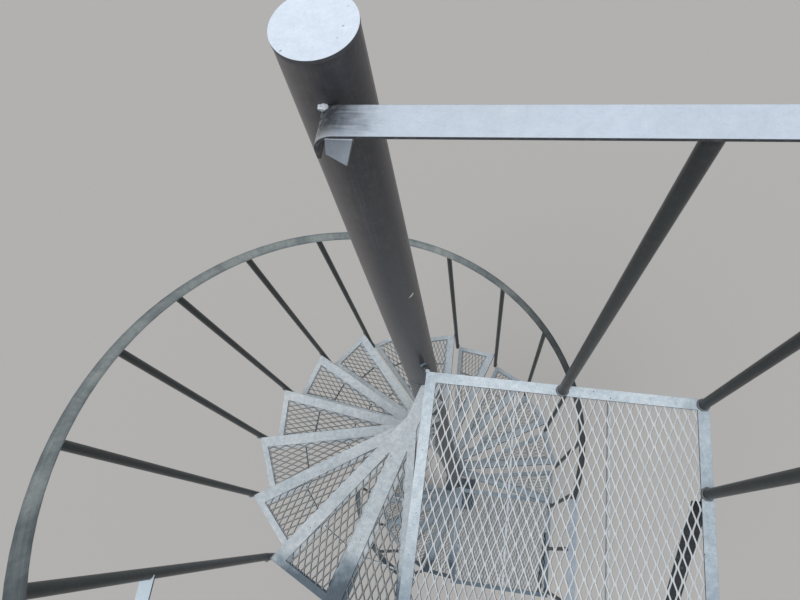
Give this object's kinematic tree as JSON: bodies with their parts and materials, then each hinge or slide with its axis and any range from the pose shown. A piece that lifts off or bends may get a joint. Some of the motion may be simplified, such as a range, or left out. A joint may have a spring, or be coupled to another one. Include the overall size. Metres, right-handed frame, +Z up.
{
  "type": "spiral fire escape stair",
  "caption": "Welded steel spiral fire escape stair winding round a tube column between two square mesh landings, with flat bar handrails and round balusters.",
  "frame": {"origin": "centre of the column foot on the ground", "axes": "+Z up, +Y points straight away from the building wall, +X along the wall towards the landings' open side"},
  "size_m": [1.3845, 1.3559, 5.292],
  "materials": {
    "column_paint": "gloss",
    "frame_paint": "satin",
    "mesh_paint": "satin",
    "rail_paint": "satin",
    "baluster_paint": "gloss"
  },
  "bodies": {
    "root": {"centre_column": "column_paint", "column_cap": "column_paint", "base_plate": "frame_paint", "tread_01": "frame_paint", "tread_02": "frame_paint", "tread_03": "frame_paint", "tread_04": "frame_paint", "tread_05": "frame_paint", "tread_06": "frame_paint", "tread_07": "frame_paint", "tread_08": "frame_paint", "tread_09": "frame_paint", "tread_10": "frame_paint", "tread_11": "frame_paint", "tread_12": "frame_paint", "tread_13": "frame_paint", "tread_14": "frame_paint", "lower_tread_01": "frame_paint", "lower_tread_02": "frame_paint", "lower_tread_03": "frame_paint", "lower_tread_04": "frame_paint", "lower_tread_05": "frame_paint", "upper_landing_frame": "frame_paint", "upper_mesh_left": "mesh_paint", "upper_mesh_middle": "mesh_paint", "upper_mesh_right": "mesh_paint", "upper_landing_stiffeners": "frame_paint", "upper_landing_brace": "frame_paint", "lower_landing_frame": "frame_paint", "lower_mesh_left": "mesh_paint", "lower_mesh_middle": "mesh_paint", "lower_mesh_right": "mesh_paint", "lower_landing_stiffeners": "frame_paint", "lower_landing_brace": "frame_paint", "upper_landing_handrail": "rail_paint", "upper_landing_balusters": "baluster_paint", "lower_landing_handrail": "rail_paint", "lower_landing_balusters": "baluster_paint", "upper_spiral_handrail": "rail_paint", "upper_spiral_balusters": "baluster_paint", "lower_spiral_handrail": "rail_paint", "lower_spiral_balusters": "baluster_paint", "handrail_wall_bracket": "rail_paint"}
  },
  "joints": []
}
